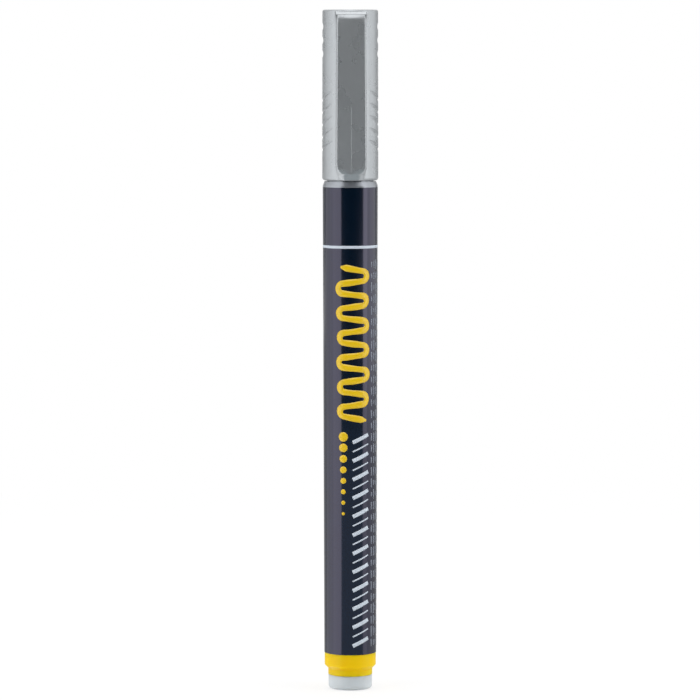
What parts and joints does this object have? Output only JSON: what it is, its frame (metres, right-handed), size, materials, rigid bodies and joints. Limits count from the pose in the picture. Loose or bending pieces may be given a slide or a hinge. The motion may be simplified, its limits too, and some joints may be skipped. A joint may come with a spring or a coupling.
{
  "type": "liquid chalk marker",
  "caption": "Slim liquid chalk marker with a grooved clip cap, film-sleeved barrel, stepped tail with plug, and a spring valve that opens when the nib is pressed.",
  "frame": {"origin": "centre of the tail plug's flat foot, on the marker's axis", "axes": "+Z along the axis towards the cap's crown, -Y towards the pocket clip"},
  "size_m": [0.0112, 0.0137, 0.136],
  "materials": {
    "silver_plastic": "silver metallic, satin gloss",
    "sleeve_film": "printed film, glossy navy",
    "barrel_yellow": "moulded, satin gloss",
    "plug_white": "natural translucent white",
    "liner_white": "natural soft polyethylene",
    "nib_fibre": "bonded fibre, ink stained",
    "buffer_fibre": "absorbent wadding",
    "valve_plastic": "natural polypropylene",
    "seat_soft": "soft moulded ring",
    "stem_plastic": "natural acetal",
    "spring_steel": "drawn wire",
    "ball_steel": "polished steel"
  },
  "bodies": {
    "barrel": {"barrel": "barrel_yellow", "label_sleeve": "sleeve_film", "tail_plug": "plug_white", "front_section": "silver_plastic", "ink_buffer": "buffer_fibre", "valve_body": "valve_plastic", "valve_seat": "seat_soft", "spring_cage": "valve_plastic", "valve_spring": "spring_steel"},
    "cap": {"cap_shell": "silver_plastic", "inner_cap": "liner_white"},
    "clip": {"pocket_clip": "silver_plastic"},
    "nib_and_stem": {"nib": "nib_fibre", "valve_stem": "stem_plastic"},
    "left_ball": {"mixing_ball_left": "ball_steel"},
    "right_ball": {"mixing_ball_right": "ball_steel"}
  },
  "joints": [
    {"name": "cap_pull", "type": "slide", "parent": "barrel", "child": "cap", "axis": [0, 0, 1], "range_m": [0, 0.034]},
    {"name": "clip_flex", "type": "hinge", "parent": "cap", "child": "clip", "pos_m": [0, -0.00699, 0.13337], "axis": [-1, 0, 0], "range_deg": [0, 4], "stiffness_Nm_per_rad": 1.2},
    {"name": "nib_press", "type": "slide", "parent": "barrel", "child": "nib_and_stem", "axis": [0, 0, -1], "range_m": [0, 0.002], "stiffness_N_per_m": 1200, "deforming": ["valve_spring"]},
    {"name": "left_ball_slide", "type": "slide", "parent": "barrel", "child": "left_ball", "axis": [0, 0, 1], "range_m": [0, 0.0652]},
    {"name": "right_ball_slide", "type": "slide", "parent": "barrel", "child": "right_ball", "axis": [0, 0, 1], "range_m": [0, 0.0652]}
  ]
}
